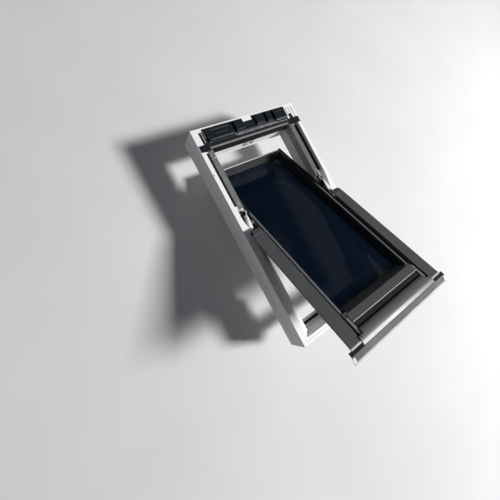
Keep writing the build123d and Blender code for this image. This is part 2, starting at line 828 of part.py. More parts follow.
casing_screws = [(across(u), upslope(casing_foot + casing_screw_rise), casing_tray)
                 for u in (casing_start + 12, casing_start + 138, casing_end - 193, casing_end - 80)]
casing_notch = ((casing_start + 200, casing_start + 250), casing_head - 26)
casing_lumps = [(casing_start + a, casing_start + b, casing_head - c, casing_head - d)
                for a, b, c, d in ((9, 134, 54, 3), (141, 197, 50, 2))]
casing_lumps += [(casing_end - a, casing_end - b, casing_head - c, casing_head - d)
                 for a, b, c, d in ((181, 126, 44, 3), (121, 84, 46, 2), (75, 4, 56, 4))]
strike_screws = [(x, top_face - top_wall - strike, -lock_level - 2.5, 90) for x in (-20, 20)]
bracket_level_mid = -bracket_level + bracket_leg * 0.6
bracket_screws = [(x + dx, side * (top_face + bracket), bracket_level_mid, -90 * side)
                  for side in (1, -1) for x in (-bracket_hole_x, bracket_hole_x) for dx in (-18, 18)]


def casing_lump(u_start, u_end, y_start, y_end):
    """Raised hollow in the casing with drafted sides and rounded corners."""
    width = u_end - u_start
    length = y_end - y_start
    middle = (across((u_start + u_end) / 2), upslope((y_start + y_end) / 2))
    outer = extrude(Pos(*middle) * RectangleRounded(width, length, casing_round), amount=casing_height,
                    taper=casing_draft)
    outer = fillet(outer.edges().group_by(Axis.Z)[-1], casing_round * 0.8)
    inner = extrude(Pos(*middle) * RectangleRounded(width - 2 * casing_wall, length - 2 * casing_wall, casing_round),
                    amount=casing_height - casing_wall, taper=casing_draft)
    return outer, inner


def top_casing():
    """Moulded casing on the top member: a notched tray with drafted lumps and ribs at one end."""
    tray = block((across(casing_start), across(casing_end)), (upslope(casing_foot), upslope(casing_head)),
                 (0, casing_tray))
    tray = fillet(tray.edges().filter_by(Axis.Z), casing_round)
    hollows = []
    for lump in casing_lumps:
        outer, inner = casing_lump(*lump)
        tray += outer
        hollows.append(inner)
    for inner in hollows:
        tray -= inner
    for n in range(6):
        y = casing_foot + 13 + 9 * n
        tray += block((across(casing_start + 2), across(casing_start + 12)), (upslope(y), upslope(y + 3)),
                      (casing_tray, casing_height * 0.7))
    (notch_start, notch_end), notch_foot = casing_notch
    tray -= block((across(notch_start), across(notch_end)), (upslope(notch_foot), upslope(casing_head)),
                  (0, casing_tray))
    return drilled(tray, casing_screws)


def casing_clip():
    """Left clip: a flat plate from the side ledge over the pocket to the casing."""
    start, end = across(clip_inset), across(clip_inset + clip_width)
    beside = across(casing_start) - 2
    foot = upslope(casing_foot - clip_reach)
    level = upslope(casing_foot) - 1
    head = upslope(casing_foot + clip_reach)
    plan = [(start, foot), (end, foot), (end, level), (beside, level), (beside, head), (beside - 12, head),
            (beside - 16, level + 4), (start, level + 4)]
    body = along_z(outline(plan), 0, clip)
    lip = block((start, end), (foot, foot + clip), (-clip_lip, 0))
    return body + lip - block((across(0), across(upper_ledge)), (foot - 1, foot + 2 * clip), (-clip_lip - 1, 0))


def roof_brackets(side):
    """Two bent brackets on the top (1) or bottom (-1) member, with a hole for the roof batten's screw."""
    face_y = side * top_face
    points = [(face_y, -bracket_level + bracket_leg), (face_y, -bracket_level),
              (face_y + side * bracket_flange, -bracket_level)]
    face = sheet_outline(points, bracket, 3.0, Side.LEFT if side > 0 else Side.RIGHT)
    hole_y = side * (top_face + bracket_hole_out)
    solids = []
    for x in (-bracket_hole_x, bracket_hole_x):
        body = along_x(face, x - bracket_width / 2, x + bracket_width / 2)
        corners = body.edges().filter_by(Axis.Z).filter_by_position(
            Axis.Y, *sorted((face_y + side * (bracket_flange - 1), face_y + side * (bracket_flange + 1))))
        body = fillet(corners, 6)
        body -= rod_z(x, hole_y, bracket_hole_r, -bracket_level, -bracket_level + bracket)
        solids.append(drilled(body, bracket_screws).solid())
    return Compound(solids)


frame_side = drilled(frame_left, ledge_screws + strip_screws + hinge_screw_places + bracket_screws)
for name, solid in (
    ("frame_left", frame_side),
    ("frame_right", mirrored(frame_side)),
    ("frame_top", drilled(frame_top, casing_screws + strike_screws + bracket_screws)),
    ("frame_bottom", drilled(frame_bottom, ledge_screws + bracket_screws)),
    ("upper_seal_left", drilled(upper_seal_side(), strip_screws)),
    ("upper_seal_right", mirrored(drilled(upper_seal_side(), strip_screws))),
    ("upper_seal_top", upper_seal_head()),
    ("frame_gasket", frame_gasket()),
    ("hinge_plate_left", hinge_plate()),
    ("hinge_plate_right", mirrored(hinge_plate())),
    ("pivot_pins", Compound([pivot_pin().solid(), mirrored(pivot_pin()).solid()])),
    ("top_casing", top_casing()),
    ("strike_plate", drilled(strike_plate(), strike_screws)),
    ("roof_brackets_top", roof_brackets(1)),
    ("roof_brackets_bottom", roof_brackets(-1)),
    ("frame_screws", screws_at(ledge_screws + strip_screws + casing_screws)),
    ("hinge_screws", screws_at(hinge_screw_places)),
    ("bracket_screws", screws_at(bracket_screws + strike_screws)),
):
    keep(name, solid)
keep_pair("casing_clip", casing_clip())
keep_pair("brake_spring", brake_spring())
keep_pair("brake_cover", brake_cover())
keep_pair("sash", drilled(sash_side_member(), cover_screw_places), True)
keep("sash_top", sash_head_member(), True)
keep("sash_bottom", sash_foot_member(), True)
keep("glass_outer", glass_plate(-glass_drop, pane), True)
keep("glass_spacer", ring(-glass_drop - pane, spacer_height, 1.0, spacer_width), True)
keep("glass_inner", glass_plate(-glass_drop - pane - spacer_height, pane), True)
keep("glazing_gasket", glazing_gasket(), True)
keep_pair("glazing_trim", glazing_trim_side(), True)
keep("glazing_trim_top", glazing_trim_head(), True)
keep("glazing_trim_bottom", glazing_trim_foot(), True)
keep("sash_seals", drilled(sash_seals(), cover_screw_places), True)
keep_pair("side_cover", side_cover(), True)
keep_pair("cover_end", cover_end_piece(), True)
keep_pair("cover_cap", cover_cap_piece(), True)
keep("cover_screws", screws_at(cover_screw_places), True)
keep("bottom_plate", bottom_plate(), True)
keep("bottom_carrier", bottom_carrier(), True)
keep("bottom_skirt", bottom_skirt(), True)
keep("bottom_cover", bottom_cover(), True)
keep_pair("sash_hinge", sash_hinge(), True)
keep("lock_case", lock_case(), True)
keep("lock_claw", lock_claw(), True)
keep("control_bar", control_bar(), True)
keep_pair("bar_arm", bar_arm(), True)
keep_pair("bar_lug", bar_lug(), True)
keep("vent_flap", vent_flap(), True)

for name, solid in part_steps.items():
    export_step(solid, f"parts/{name}.step")
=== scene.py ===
import math

import bmesh
import bpy
import numpy as np
from mathutils import Matrix, Vector


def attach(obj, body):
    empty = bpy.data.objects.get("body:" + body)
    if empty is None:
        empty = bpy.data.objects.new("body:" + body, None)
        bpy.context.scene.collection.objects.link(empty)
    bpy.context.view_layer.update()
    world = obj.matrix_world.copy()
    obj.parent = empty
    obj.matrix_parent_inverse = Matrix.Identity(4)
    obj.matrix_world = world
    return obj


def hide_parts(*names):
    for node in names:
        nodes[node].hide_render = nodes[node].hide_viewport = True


# Centre-pivot roof window, half open. The part's own frame is in metres: +X across the window, +Y up the
# roof slope, +Z out of the roof.
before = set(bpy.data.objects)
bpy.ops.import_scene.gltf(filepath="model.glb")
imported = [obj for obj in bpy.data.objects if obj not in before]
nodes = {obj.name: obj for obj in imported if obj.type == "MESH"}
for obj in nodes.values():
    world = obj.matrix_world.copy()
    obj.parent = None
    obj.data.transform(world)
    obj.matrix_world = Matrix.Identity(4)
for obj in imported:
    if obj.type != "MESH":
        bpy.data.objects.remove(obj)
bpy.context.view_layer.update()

# The shut window's own measures, in millimetres: u from its left face, v from its bottom face, height z from
# the frame's outer plane. Sections and places of all new pieces are in them.
WINDOW_WIDTH = 550.0
WINDOW_LENGTH = 980.0
OUTER_PLANE = 86.0
PIVOT_Y = 55.0
PIVOT_Z = -2.0
OPEN_ANGLE = math.radians(26.5)
MM = 0.001
SIDES = ("left", "right")


def on_frame(places):
    """Metres in the part's frame for places on the frame: (u, v, z) -> (u - W/2, v - L/2, z + 86)."""
    shift = np.array([-WINDOW_WIDTH / 2, -WINDOW_LENGTH / 2, OUTER_PLANE])
    return (np.asarray(places, float) + shift) * MM


def on_sash(places):
    """The same for places on the shut sash, turned about the pivot by the open angle."""
    places = np.array(places, float) + np.array([-WINDOW_WIDTH / 2, -WINDOW_LENGTH / 2, 0.0])
    along = places[..., 1] - PIVOT_Y
    height = places[..., 2] - PIVOT_Z
    cos, sin = math.cos(OPEN_ANGLE), math.sin(OPEN_ANGLE)
    places[..., 1] = PIVOT_Y + along * cos + height * sin
    places[..., 2] = PIVOT_Z - along * sin + height * cos + OUTER_PLANE
    return places * MM


PLACED_ON = {"frame": on_frame, "sash": on_sash}


# Materials

ROUGH_DRIFT = 0.06
# Width and turn of the lighter edges, which are partly wear and partly a painted edge highlight
EDGE_WEAR_AND_HIGHLIGHT_WIDTH = 0.0009
EDGE_WEAR_AND_HIGHLIGHT_TURN = (0.80, 0.97)
OUTER_FACE = (0.2746, 0.2748)
# Painted shade of a groove along the frame's outer sides: where it lies in height, how strong it is and its
# colour
GROOVE_LOW = (0.017, 0.021)
GROOVE_HIGH = (0.025, 0.029)
GROOVE_SHADE_SHARE = 0.30
# Painted shade: the grey that the frame's outer sides turn to
OUTER_PAINTED_SHADE = (0.66, 0.64, 0.65)
GROOVE_PAINTED_SHADE = (0.30, 0.28, 0.29)
# Painted darkness and reflection: the glass's dark blue stands for the unlit room behind it and the sky in
# it; the dusty tone is a little lighter
GLASS_CLEAN, GLASS_DUSTY = (0.0008, 0.0058, 0.0175), (0.0014, 0.0072, 0.0205)
CLEAN_ROUGH, DUSTY_ROUGH = 0.01, 0.04
GLASS_SHINE, GLASS_ALPHA = 0.22, 0.7
DUST_SCALE, DUST_DETAIL = 30.0, 4.0
ALONG_U = (0.1, 1.0, 1.0)
ALONG_V = (1.0, 0.15, 1.0)


def shader(name):
    """New node material; returns it with its node tree and its surface shader."""
    material = bpy.data.materials.new(name)
    material.use_nodes = True
    tree = material.node_tree
    surface = tree.nodes["Principled BSDF"]
    return material, tree, surface


def object_noise(tree, scale, detail=6.0, stretch=(1.0, 1.0, 1.0)):
    """Noise on object coordinates; stretch below 1 draws it out along that axis."""
    place = tree.nodes.new("ShaderNodeTexCoord")
    mapping = tree.nodes.new("ShaderNodeMapping")
    mapping.inputs["Scale"].default_value = stretch
    noise = tree.nodes.new("ShaderNodeTexNoise")
    noise.inputs["Scale"].default_value = scale
    noise.inputs["Detail"].default_value = detail
    tree.links.new(place.outputs["Object"], mapping.inputs["Vector"])
    tree.links.new(mapping.outputs["Vector"], noise.inputs["Vector"])
    return noise.outputs["Fac"]


def between(tree, factor, low, high, start=0.3, end=0.7):
    """Value or colour that runs from low to high as factor runs from start to end."""
    if isinstance(low, tuple):
        ramp = tree.nodes.new("ShaderNodeValToRGB")
        ramp.color_ramp.elements[0].position = start
        ramp.color_ramp.elements[1].position = end
        ramp.color_ramp.elements[0].color = (*low, 1.0)
        ramp.color_ramp.elements[1].color = (*high, 1.0)
        tree.links.new(factor, ramp.inputs["Fac"])
        return ramp.outputs["Color"]
    scaled = tree.nodes.new("ShaderNodeMapRange")
    scaled.inputs["From Min"].default_value = start
    scaled.inputs["From Max"].default_value = end
    scaled.inputs["To Min"].default_value = low
    scaled.inputs["To Max"].default_value = high
    tree.links.new(factor, scaled.inputs["Value"])
    return scaled.outputs["Result"]


def product_of(tree, first, second):
    """Product of two values."""
    product = tree.nodes.new("ShaderNodeMath")
    product.operation = "MULTIPLY"
    tree.links.new(first, product.inputs[0])
    tree.links.new(second, product.inputs[1])
    return product.outputs["Value"]


def bumped(tree, height, strength, distance, edge):
    """Normal from a height pattern over softly rounded edges."""
    rounded = tree.nodes.new("ShaderNodeBevel")
    rounded.inputs["Radius"].default_value = edge
    bump = tree.nodes.new("ShaderNodeBump")
    bump.inputs["Strength"].default_value = strength
    bump.inputs["Distance"].default_value = distance
    tree.links.new(rounded.outputs["Normal"], bump.inputs["Normal"])
    tree.links.new(height, bump.inputs["Height"])
    return bump.outputs["Normal"]


def edge_wear_and_highlight_share(tree):
    """Share of edge that takes the edge colour, partly wear and partly a painted highlight: 0 on flat faces,
    rising to 1 where the normal turns within the edge width.
    """
    rounded = tree.nodes.new("ShaderNodeBevel")
    rounded.inputs["Radius"].default_value = EDGE_WEAR_AND_HIGHLIGHT_WIDTH
    flat = tree.nodes.new("ShaderNodeNewGeometry")
    turn = tree.nodes.new("ShaderNodeVectorMath")
    turn.operation = "DOT_PRODUCT"
    tree.links.new(rounded.outputs["Normal"], turn.inputs[0])
    tree.links.new(flat.outputs["Normal"], turn.inputs[1])
    return between(tree, turn.outputs["Value"], 1.0, 0.0, *EDGE_WEAR_AND_HIGHLIGHT_TURN)


def blended(tree, share, base, top):
    """Colour that goes from base to top with share."""
    mix = tree.nodes.new("ShaderNodeMix")
    mix.data_type = "RGBA"
    colours = [socket for socket in mix.inputs if socket.type == "RGBA"]
    tree.links.new(share, mix.inputs["Factor"])
    tree.links.new(base, colours[0])
    colours[1].default_value = (*top, 1.0)
    return [socket for socket in mix.outputs if socket.type == "RGBA"][0]


def finish(name, dark, light, rough, metal=0.0, blotch=14.0, grain=900.0, relief=0.15, edge=0.0006,
           stretch=(1.0, 1.0, 1.0), depth=0.0002, edge_wear_and_highlight=None, gloss=0.5):
    """Surface whose colour drifts from dark to light in soft blotches, with a fine grain in its relief;
    edge_wear_and_highlight is the colour of its edges, partly wear and partly a painted edge highlight, and
    gloss the strength of its shine."""
    material, tree, surface = shader(name)
    blotches = object_noise(tree, blotch, 5.0, stretch)
    colour = between(tree, blotches, dark, light)
    # Lighter edges: partly wear, partly a painted highlight
    if edge_wear_and_highlight:
        colour = blended(tree, edge_wear_and_highlight_share(tree), colour, edge_wear_and_highlight)
    tree.links.new(colour, surface.inputs["Base Color"])
    tree.links.new(between(tree, blotches, rough + ROUGH_DRIFT, rough - ROUGH_DRIFT),
                   surface.inputs["Roughness"])
    surface.inputs["Metallic"].default_value = metal
    surface.inputs["Specular IOR Level"].default_value = gloss
    grains = object_noise(tree, grain, 3.0, stretch)
    tree.links.new(bumped(tree, grains, relief, depth, edge), surface.inputs["Normal"])
    return material


def pane_glass():
    """Dark blue glass that lets a little light through each of its faces, with faint dust; its dark blue is
    painted in for the dark room behind it and the blue sky it reflects.
    """
    material, tree, surface = shader("dark_painted_glass")
    dust = object_noise(tree, DUST_SCALE, DUST_DETAIL)
    tree.links.new(between(tree, dust, GLASS_CLEAN, GLASS_DUSTY), surface.inputs["Base Color"])
    tree.links.new(between(tree, dust, CLEAN_ROUGH, DUSTY_ROUGH), surface.inputs["Roughness"])
    surface.inputs["Specular IOR Level"].default_value = GLASS_SHINE
    surface.inputs["Alpha"].default_value = GLASS_ALPHA
    return material


def painted_shade_lacquer(base):
    """The white lacquer with painted shade: greyer on the frame's outer sides, with a faint dark line along
    them painted as the shade in one of their grooves.
    """
    material = base.copy()
    material.name = "painted_shade_lacquer"
    tree = material.node_tree
    surface = tree.nodes["Principled BSDF"]
    place = tree.nodes.new("ShaderNodeTexCoord")
    split = tree.nodes.new("ShaderNodeSeparateXYZ")
    tree.links.new(place.outputs["Object"], split.inputs["Vector"])
    outward = tree.nodes.new("ShaderNodeMath")
    outward.operation = "ABSOLUTE"
    tree.links.new(split.outputs["X"], outward.inputs[0])
    # Painted shade of a groove: a dark line along the outer sides
    groove = between(tree, outward.outputs["Value"], 0.0, GROOVE_SHADE_SHARE, *OUTER_FACE)
    for low, high, edge in ((0.0, 1.0, GROOVE_LOW), (1.0, 0.0, GROOVE_HIGH)):
        groove = product_of(tree, groove, between(tree, split.outputs["Z"], low, high, *edge))
    colour = surface.inputs["Base Color"].links[0].from_socket
    # Painted shade: the outer sides are greyed
    outer = between(tree, outward.outputs["Value"], 0.0, 1.0, *OUTER_FACE)
    colour = blended(tree, outer, colour, OUTER_PAINTED_SHADE)
    tree.links.new(blended(tree, groove, colour, GROOVE_PAINTED_SHADE), surface.inputs["Base Color"])
    return material


# Lacquer, seals and rubber
white_lacquer = finish("white_lacquer", (0.87, 0.87, 0.86), (0.91, 0.91, 0.90), rough=0.5, relief=0.06,
                       edge=0.0009, gloss=0.1)
# White lacquer with painted shade on the frame's outer sides
outer_painted_shade_lacquer = painted_shade_lacquer(white_lacquer)
seal_felt = finish("seal_felt", (0.14, 0.14, 0.136), (0.33, 0.33, 0.32), rough=0.92, blotch=330.0,
                   grain=1400.0, relief=0.7, depth=0.0005)
pale_seal = finish("pale_seal", (0.36, 0.36, 0.35), (0.44, 0.44, 0.43), rough=0.6)
black_rubber = finish("black_rubber", (0.006, 0.006, 0.008), (0.012, 0.012, 0.015), rough=0.72, relief=0.25,
                      gloss=0.25)

# Steel and aluminium
zinc_plate = finish("zinc_plate", (0.52, 0.53, 0.54), (0.70, 0.71, 0.72), rough=0.45, metal=0.7,
                    blotch=60.0, relief=0.12)
bright_steel = finish("bright_steel", (0.82, 0.82, 0.83), (0.92, 0.92, 0.92), rough=0.36, metal=0.1,
                      blotch=90.0, relief=0.10)
black_steel = finish("black_steel", (0.006, 0.007, 0.009), (0.014, 0.015, 0.018), rough=0.42, metal=0.2,
                     blotch=45.0, edge_wear_and_highlight=(0.30, 0.31, 0.33), gloss=0.3)
grey_cladding = finish("grey_cladding", (0.100, 0.106, 0.110), (0.130, 0.136, 0.140), rough=0.31, metal=0.3,
                       blotch=7.0, relief=0.10, edge=0.0008, edge_wear_and_highlight=(0.34, 0.35, 0.36))
# The cladding's colour made a little lighter than the side covers' as a painted highlight on the rounded
# cover
bow_cladding_and_highlight = finish("bow_cladding_and_highlight", (0.112, 0.115, 0.113), (0.140, 0.143, 0.140), rough=0.34, metal=0.3,
                      blotch=7.0, relief=0.10, edge=0.0008, edge_wear_and_highlight=(0.40, 0.41, 0.42))
apron_cladding = finish("apron_cladding", (0.12, 0.118, 0.115), (0.16, 0.157, 0.152), rough=0.66, metal=0.05,
                        blotch=9.0, relief=0.10, edge=0.0008, gloss=0.12)
bead_metal = finish("bead_metal", (0.26, 0.27, 0.285), (0.33, 0.34, 0.355), rough=0.40, metal=0.45,
                    blotch=25.0, relief=0.1, stretch=ALONG_V)
trim_metal = finish("trim_metal", (0.014, 0.017, 0.022), (0.026, 0.030, 0.036), rough=0.38, metal=0.4,
                    blotch=25.0, relief=0.1, stretch=ALONG_V)
dark_trim = finish("dark_trim", (0.035, 0.037, 0.040), (0.055, 0.057, 0.060), rough=0.45, metal=0.3,
                   blotch=12.0, relief=0.12)
spacer_metal = finish("spacer_metal", (0.10, 0.11, 0.12), (0.15, 0.16, 0.17), rough=0.4, metal=0.6,
                      relief=0.1)
bar_metal = finish("bar_metal", (0.55, 0.56, 0.57), (0.68, 0.69, 0.70), rough=0.28, metal=0.85, blotch=30.0,
                   relief=0.08, stretch=ALONG_U)
# Painted highlight: the light grey of the side covers' hems stands for the light caught on their inner edges
hem_painted_highlight = finish("hem_painted_highlight", (0.20, 0.205, 0.21), (0.27, 0.275, 0.28), rough=0.34, metal=0.3, blotch=50.0,
                   relief=0.1)
# Painted highlight along the apron's edge and the bottom plate's lip
painted_edge_highlight = finish("painted_edge_highlight", (0.46, 0.46, 0.46), (0.54, 0.54, 0.54), rough=0.5, metal=0.1,
                     blotch=50.0, relief=0.1, gloss=0.25)

# Mouldings and glass
black_moulding = finish("black_moulding", (0.006, 0.008, 0.012), (0.012, 0.015, 0.022), rough=0.44,
                        blotch=40.0, grain=1100.0, relief=0.35, edge_wear_and_highlight=(0.10, 0.11, 0.14), gloss=0.25)
pale_moulding = finish("pale_moulding", (0.50, 0.54, 0.44), (0.60, 0.64, 0.54), rough=0.5)
# Painted highlight: the pale of the apron's ends stands for sun on their end flanges
apron_end_highlight = finish("apron_end_highlight", (0.60, 0.60, 0.60), (0.68, 0.68, 0.67), rough=0.45, relief=0.1)
rib_grey = finish("rib_grey", (0.20, 0.205, 0.21), (0.28, 0.285, 0.29), rough=0.5, blotch=50.0, relief=0.2)
glass = pane_glass()

node_finishes = (
    (outer_painted_shade_lacquer, ("frame_left", "frame_right")),
    (white_lacquer, ("frame_top", "frame_bottom", "sash_left", "sash_right", "sash_top", "sash_bottom")),
    (seal_felt, ("upper_seal_left", "upper_seal_right", "upper_seal_top")),
    (black_rubber, ("frame_gasket", "glazing_gasket", "sash_seals", "bottom_carrier")),
    (black_steel, ("hinge_plate_left", "hinge_plate_right", "hinge_screws", "sash_hinge_left",
                   "sash_hinge_right")),
    (zinc_plate, ("pivot_pins", "strike_plate", "roof_brackets_top", "roof_brackets_bottom", "frame_screws",
                  "bracket_screws", "brake_spring_left", "brake_spring_right", "lock_claw")),
    (bright_steel, ("brake_cover_left", "brake_cover_right")),
    (black_moulding, ("top_casing", "casing_clip_left", "casing_clip_right", "cover_cap_left",
                      "cover_cap_right", "lock_case", "bar_lug_left", "bar_lug_right")),
    (pale_moulding, ("cover_end_left", "cover_end_right")),
    (glass, ("glass_outer", "glass_inner")),
    (spacer_metal, ("glass_spacer",)),
    (trim_metal, ("glazing_trim_left", "glazing_trim_right")),
    (dark_trim, ("glazing_trim_top", "glazing_trim_bottom", "cover_screws")),
    (grey_cladding, ("side_cover_left", "side_cover_right", "bottom_plate")),
    (apron_cladding, ("bottom_skirt",)),
    (bow_cladding_and_highlight, ("bottom_cover",)),
    (bar_metal, ("control_bar", "bar_arm_left", "bar_arm_right", "vent_flap")),
)
for material, names in node_finishes:
    for name in names:
        slots = nodes[name].data.materials
        slots.clear()
        slots.append(material)


# Shapes: heights and places, and closed solids, each as its corners (u, v, z) and its faces

def smooth_step(value, low, high):
    """0 below low, 1 above high and 3t^2 - 2t^3 between them."""
    t = np.clip((value - low) / (high - low), 0.0, 1.0)
    return t * t * (3.0 - 2.0 * t)


def arc_places(centre, radius, start, end, count):
    """Places on a circle: centre + radius * (cos t, sin t), with t from start to end in degrees."""
    turn = np.radians(np.linspace(start, end, count))
    return centre + radius * np.column_stack([np.cos(turn), np.sin(turn)])


def smooth_route(points, steps):
    """Smooth way through points: each cubic stretch leaves and reaches its ends along the line between the
    points on either side of them."""
    ends = np.vstack([2 * points[0] - points[1], points, 2 * points[-1] - points[-2]])
    t = np.linspace(0.0, 1.0, steps, endpoint=False)[None, :, None]
    a, b, c, d = (ends[k:len(ends) - 3 + k, None, :] for k in range(4))
    curve = 2 * b + (c - a) * t
    curve = curve + (2 * a - 5 * b + 4 * c - d) * t ** 2 + (3 * b - a - 3 * c + d) * t ** 3
    return np.vstack([curve.reshape(-1, points.shape[1]) / 2, points[-1]])


def joined_rings(rings):
    """Solid through rings of places, each joined to the next one, with flat ends."""
    index = np.arange(rings.shape[0] * rings.shape[1]).reshape(rings.shape[:2])
    a, b = index[:-1], index[1:]
    sides = np.stack([a, b, np.roll(b, -1, axis=1), np.roll(a, -1, axis=1)], axis=-1).reshape(-1, 4)
    return rings.reshape(-1, 3), sides.tolist() + [index[0].tolist(), index[-1].tolist()]


def slope_bar(section, start, end):
    """Section (u, z) carried up the slope: v runs from start to end."""
    return joined_rings(np.stack([np.insert(section, 1, v, axis=1) for v in (start, end)]))


def cross_bar(section, start, end):
    """Section (v, z) carried across the window: u runs from start to end."""
    return joined_rings(np.stack([np.insert(section, 0, u, axis=1) for u in (start, end)]))


def other_side(places, side):
    """Places as drawn for the left side, or with W - u for u on the right one."""
    places = np.array(places, float)
    if side == "right":
        places[:, 0] = WINDOW_WIDTH - places[:, 0]
    return places


def span_on(side, start, end):
    """The stretch from start to end across the window, or its mirror image on the right side."""
    return (start, end) if side == "left" else (WINDOW_WIDTH - end, WINDOW_WIDTH - start)


def strip_on_edge(route, width, low, high, cut=0.6, crest=0.6):
    """Strip that follows a route (u, v) and stands on edge from low to high: half of its width lies to each
    side of the route. Its upper corners are cut off over cut mm, down to the share crest of its width."""
    along = np.gradient(route, axis=0)
    along /= np.linalg.norm(along, axis=1, keepdims=True)
    beside = np.column_stack([-along[:, 1], along[:, 0]]) * width / 2
    section = ((1, low), (1, high - cut), (crest, high), (-crest, high), (-1, high - cut), (-1, low))
    lines = [np.insert(route + share * beside, 2, z, axis=1) for share, z in section]
    return joined_rings(np.stack(lines, axis=1))


def crowned_wedge(stations, low, fall, steps=11):
    """Wedge through stations (v, left u, right u, height): across each one, with x from 1 to -1, the top lies
    at height - fall * x^4, and the underside is flat at low."""
    v, left, right, height = np.array(stations, float).T[..., None]
    across = np.linspace(1.0, -1.0, steps)
    u = (left + right) / 2 + across * (right - left) / 2
    top = np.stack([u, np.broadcast_to(v, u.shape), height - fall * across ** 4], axis=-1)
    under = top[:, [-1, 0]].copy()
    under[..., 2] = low
    return joined_rings(np.concatenate([top, under], axis=1))


def button(centre, radius, height, turns=20, rises=6):
    """Small domed button: rings of radius R cos t at a height of H sin t, with t from 0 to 90 degrees."""
    turn = np.linspace(0.0, 2.0 * np.pi, turns, endpoint=False)
    rise = np.linspace(0.0, np.pi / 2, rises)[:-1]
    around, up = np.meshgrid(turn, rise)
    rings = np.stack([np.cos(up) * np.cos(around) * radius, np.cos(up) * np.sin(around) * radius,
                      np.sin(up) * height], axis=-1).reshape(-1, 3)
    corners = np.vstack([rings, (0.0, 0.0, height)]) + centre
    index = np.arange(len(rings)).reshape(len(rise), -1)
    after = np.roll(index, -1, axis=1)
    sides = np.stack([index[:-1], after[:-1], after[1:], index[1:]], axis=-1).reshape(-1, 4)
    top = np.column_stack([index[-1], after[-1], np.full(len(turn), len(rings))])
    return corners, sides.tolist() + top.tolist() + [index[0][::-1].tolist()]


def raised_pad(u, v, area, soft):
    """1 on the area (u_low, u_high, v_low, v_high), falling to 0 over soft mm inside its four sides."""
    u_low, u_high, v_low, v_high = area
    across = smooth_step(u, u_low, u_low + soft) * smooth_step(-u, -u_high, soft - u_high)
    along = smooth_step(v, v_low, v_low + soft) * smooth_step(-v, -v_high, soft - v_high)
    return across * along


def shell_from_heights(u_places, v_places, heights, floor, kept):
    """Solid between a floor height and a grid of heights, where kept marks the grid's cells."""
    rows, columns = heights.shape
    u, v = np.meshgrid(u_places, v_places, indexing="ij")
    top = np.stack([u, v, heights], axis=-1).reshape(-1, 3)
    low = np.stack([u, v, np.full_like(u, floor)], axis=-1).reshape(-1, 3)
    index = np.arange(rows * columns).reshape(rows, columns)
    a, b = index[:-1, :-1], index[1:, :-1]
    c, d = index[1:, 1:], index[:-1, 1:]
    quads = np.stack([a, b, c, d], axis=-1)[kept]
    faces = [quads, quads[:, ::-1] + rows * columns]
    ringed = np.pad(kept, 1)
    for next_cell, start, end in ((ringed[1:-1, :-2], a, b), (ringed[2:, 1:-1], b, c),
                                  (ringed[1:-1, 2:], c, d), (ringed[:-2, 1:-1], d, a)):
        edge = kept & ~next_cell
        wall = [end[edge], start[edge], start[edge] + rows * columns, end[edge] + rows * columns]
        faces.append(np.column_stack(wall))
    used, faces = np.unique(np.vstack(faces), return_inverse=True)
    return np.vstack([top, low])[used], faces.reshape(-1, 4).tolist()


def add_piece(name, solid, material, body, replaced=None):
    """Mesh piece from a solid, its faces all turned outwards, riding on a body; it stands for the replaced
    node, if it names one."""
    corners, faces = solid
    mesh = bpy.data.meshes.new(name)
    mesh.from_pydata(PLACED_ON[body](corners).tolist(), [], faces)
    shell = bmesh.new()
    shell.from_mesh(mesh)
    bmesh.ops.recalc_face_normals(shell, faces=shell.faces[:])
    shell.to_mesh(mesh)
    shell.free()
    mesh.materials.append(material)
    mesh.update()
    piece = bpy.data.objects.new(name, mesh)
    bpy.context.scene.collection.objects.link(piece)
    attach(piece, body)
    if replaced:
        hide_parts(replaced)


# Linings on the sash's outer sides, under the side covers: flat, with square grooves in the outer face
LINING_OUTER, LINING_INNER = 62.6, 66.0
LINING_TOP, LINING_BOTTOM = -9.0, -89.0
LINING_START, LINING_END = 38.0, 425.0
LINING_GROOVES = ((-20.0, -23.0), (-42.0, -45.0), (-64.0, -72.0))
GROOVE_DEPTH = 1.6
GROOVE_FLOOR = LINING_OUTER + GROOVE_DEPTH

lining = [(LINING_INNER, LINING_TOP), (LINING_OUTER, LINING_TOP)]
for high, low in LINING_GROOVES:
    lining += [(LINING_OUTER, high), (GROOVE_FLOOR, high), (GROOVE_FLOOR, low), (LINING_OUTER, low)]
lining += [(LINING_OUTER, LINING_BOTTOM), (LINING_INNER, LINING_BOTTOM)]
for side in SIDES:
    solid = slope_bar(other_side(lining, side), LINING_START, LINING_END)
    add_piece(f"sash_lining_{side}", solid, black_moulding, "sash")


# Side seals of the frame's upper half: a finely ribbed band in each pocket, a pale grey leg down the inner
# face,
# # whose grey is painted shade on the white face there, and a black gasket beside the ledge
BAND_START, BAND_END = 38.6, 62.5
BAND_LOW, BAND_TOP = -18.0, -15.3
RIB, RIB_GAP, RIB_SLANT, RIB_RISE = 2.1, 0.4, 0.3, 0.5
BAND_VALLEY = BAND_TOP - RIB_RISE
LEG_INNER, LEG_LOW, LEG_SLANT = 60.0, -55.0, 0.8
SEAL_FOOT, SEAL_HEAD, LEG_HEAD = 615.0, 910.0, 887.5
GASKET_FOOT, GASKET_HEAD = 632.0, 878.0

